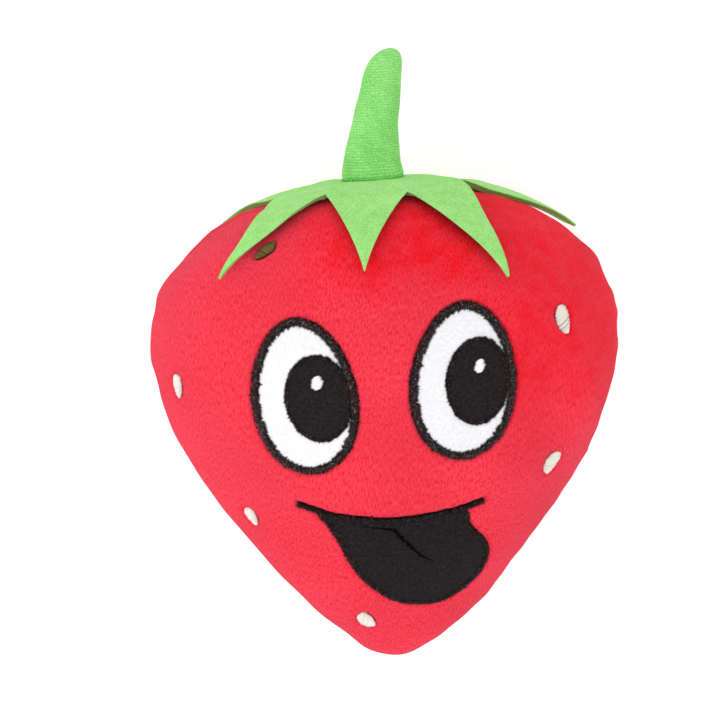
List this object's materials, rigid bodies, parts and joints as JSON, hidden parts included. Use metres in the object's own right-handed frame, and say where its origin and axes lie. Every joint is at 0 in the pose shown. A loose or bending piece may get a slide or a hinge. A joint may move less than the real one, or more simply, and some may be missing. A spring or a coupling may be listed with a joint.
{
  "type": "plush dog toy",
  "caption": "Stuffed plush strawberry dog toy with a squeaker, stitched face, satin seeds, felt leaf star and ribbed knit stalk.",
  "frame": {"origin": "middle of the flat patch of the back that the toy lies on", "axes": "+X to the right of the face, +Y towards the stalk, +Z out of the face"},
  "size_m": [0.1316, 0.1703, 0.0938],
  "materials": {
    "red_plush": "short-pile minky plush",
    "green_felt": "pressed felt",
    "green_knit": "fine ribbed knit",
    "green_thread": "matte sewing thread",
    "white_cloth": "smooth woven patch cloth",
    "black_cloth": "twill patch cloth",
    "black_thread": "satin-stitched thread",
    "white_thread": "satin-stitched thread",
    "cream_thread": "satin-stitched thread",
    "red_thread": "matte sewing thread",
    "wadding": "loose polyester fibre",
    "squeaker_plastic": "blow-moulded polyethylene"
  },
  "bodies": {
    "root": {"back_panel": "red_plush", "back_filling": "wadding", "squeaker_bulb": "squeaker_plastic", "seed_back_1": "cream_thread", "seed_back_2": "cream_thread", "seed_back_3": "cream_thread", "seed_back_4": "cream_thread", "seed_back_5": "cream_thread", "seed_back_6": "cream_thread", "calyx_hub": "green_felt", "stem_base_stitch": "green_thread", "closing_stitches": "red_thread"},
    "face": {"front_panel": "red_plush", "front_filling": "wadding", "eye_white_left": "white_cloth", "eye_border_left": "black_thread", "pupil_left": "black_cloth", "pupil_border_left": "black_thread", "eye_glint_left": "white_thread", "eye_white_right": "white_cloth", "eye_border_right": "black_thread", "pupil_right": "black_cloth", "pupil_border_right": "black_thread", "eye_glint_right": "white_thread", "smile_stitch": "black_thread", "mouth_border": "black_thread", "mouth_patch": "black_cloth", "tongue_crease": "black_thread", "seed_front_1": "cream_thread", "seed_front_2": "cream_thread", "seed_front_3": "cream_thread", "seed_front_4": "cream_thread", "seed_front_5": "cream_thread", "seed_front_6": "cream_thread"},
    "squeaker_head": {"whistle_housing": "squeaker_plastic", "whistle_wedge": "squeaker_plastic", "whistle_reed": "squeaker_plastic"},
    "leaf_1": {"leaf_1": "green_felt"},
    "leaf_2": {"leaf_2": "green_felt"},
    "leaf_3": {"leaf_3": "green_felt"},
    "leaf_4": {"leaf_4": "green_felt"},
    "leaf_5": {"leaf_5": "green_felt"},
    "leaf_6": {"leaf_6": "green_felt"},
    "leaf_7": {"leaf_7": "green_felt"},
    "stem_root": {"stem_hem": "green_knit"},
    "stem": {"stem_cover": "green_knit", "stem_filling": "wadding"}
  },
  "joints": [
    {"name": "face_press", "type": "slide", "parent": "root", "child": "face", "axis": [0, 0, -1], "range_m": [0, 0.01], "stiffness_N_per_m": 1500, "deforming": ["front_panel", "front_filling"]},
    {"name": "squeaker_press", "type": "slide", "parent": "root", "child": "squeaker_head", "axis": [0, 0, -1], "range_m": [0, 0.006], "deforming": ["squeaker_bulb"]},
    {"name": "stem_sway", "type": "hinge", "parent": "root", "child": "stem_root", "pos_m": [-0.0016, 0.06275, 0.04319], "axis": [0, 0, 1], "range_deg": [-30, 30], "stiffness_Nm_per_rad": 0.02, "deforming": ["stem_hem"]},
    {"name": "stem_nod", "type": "hinge", "parent": "stem_root", "child": "stem", "pos_m": [-0.0016, 0.06275, 0.04319], "axis": [1, 0, 0], "range_deg": [-30, 30], "stiffness_Nm_per_rad": 0.02, "deforming": ["stem_cover"]},
    {"name": "leaf_1_lift", "type": "hinge", "parent": "root", "child": "leaf_1", "pos_m": [-0.00321, 0.05589, 0.06609], "axis": [-0.9974, -0.0098, -0.0716], "range_deg": [0, 70], "stiffness_Nm_per_rad": 0.002},
    {"name": "leaf_2_lift", "type": "hinge", "parent": "root", "child": "leaf_2", "pos_m": [-0.02043, 0.05625, 0.05617], "axis": [-0.574, 0.0273, -0.8184], "range_deg": [0, 70], "stiffness_Nm_per_rad": 0.002},
    {"name": "leaf_3_lift", "type": "hinge", "parent": "root", "child": "leaf_3", "pos_m": [-0.02348, 0.05629, 0.03659], "axis": [0.3044, -0.0691, -0.95], "range_deg": [0, 70], "stiffness_Nm_per_rad": 0.002},
    {"name": "leaf_4_lift", "type": "hinge", "parent": "root", "child": "leaf_4", "pos_m": [-0.01006, 0.05345, 0.02203], "axis": [0.9461, -0.097, -0.309], "range_deg": [0, 70], "stiffness_Nm_per_rad": 0.002},
    {"name": "leaf_5_lift", "type": "hinge", "parent": "root", "child": "leaf_5", "pos_m": [0.00971, 0.0542, 0.0233], "axis": [0.8925, 0.1517, 0.4247], "range_deg": [0, 70], "stiffness_Nm_per_rad": 0.002},
    {"name": "leaf_6_lift", "type": "hinge", "parent": "root", "child": "leaf_6", "pos_m": [0.02096, 0.05703, 0.03966], "axis": [0.1622, 0.044, 0.9858], "range_deg": [0, 70], "stiffness_Nm_per_rad": 0.002},
    {"name": "leaf_7_lift", "type": "hinge", "parent": "root", "child": "leaf_7", "pos_m": [0.01526, 0.05666, 0.05868], "axis": [-0.6833, -0.0455, 0.7287], "range_deg": [0, 70], "stiffness_Nm_per_rad": 0.002}
  ],
  "couplings": [
    {"joint": "squeaker_press", "follows": "face_press", "ratio": 0.6}
  ]
}
